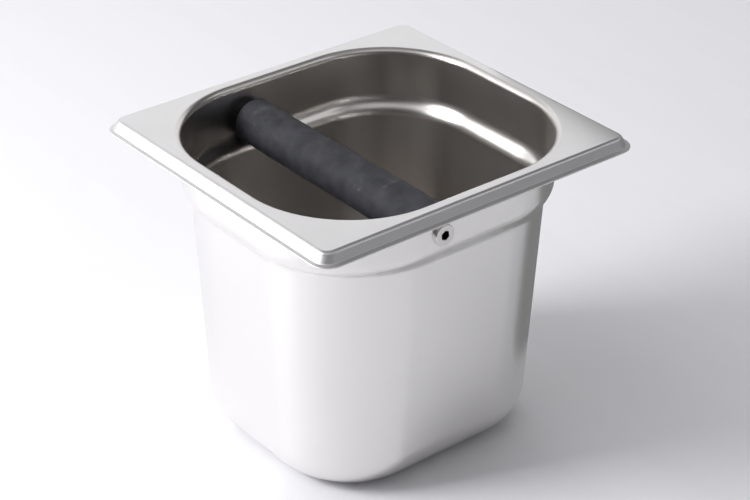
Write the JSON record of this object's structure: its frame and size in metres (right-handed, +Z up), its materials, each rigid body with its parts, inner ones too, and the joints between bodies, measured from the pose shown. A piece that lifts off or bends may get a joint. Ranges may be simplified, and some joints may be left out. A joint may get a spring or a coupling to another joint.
{
  "type": "espresso knock box",
  "caption": "Deep drawn sheet-steel bin with a wide level rim for a counter cut-out, and a rubber-sleeved bar bolted across its mouth for knocking out spent coffee.",
  "frame": {"origin": "middle of the pan's flat base, on its underside", "axes": "+X along the longer rim, +Y along the knock bar, +Z up; the bar lies towards -X"},
  "size_m": [0.176, 0.162, 0.15],
  "materials": {
    "pan_steel": "satin",
    "core_steel": "satin",
    "sleeve_rubber": "matte",
    "screw_steel": "satin"
  },
  "bodies": {
    "bin": {"pan": "pan_steel"},
    "knock_bar": {"bar_core": "core_steel", "front_end_plug": "core_steel", "rear_end_plug": "core_steel", "bar_sleeve": "sleeve_rubber"},
    "front_screw_body": {"front_screw": "screw_steel"},
    "rear_screw_body": {"rear_screw": "screw_steel"}
  },
  "joints": [
    {"name": "bar_turn", "type": "hinge", "parent": "bin", "child": "knock_bar", "pos_m": [-0.0161, 0, 0.1327], "axis": [0, 1, 0], "continuous": true},
    {"name": "front_screw_travel", "type": "slide", "parent": "knock_bar", "child": "front_screw_body", "axis": [0, -1, 0], "range_m": [0, 0.017]},
    {"name": "rear_screw_travel", "type": "slide", "parent": "knock_bar", "child": "rear_screw_body", "axis": [0, 1, 0], "range_m": [0, 0.017]}
  ]
}
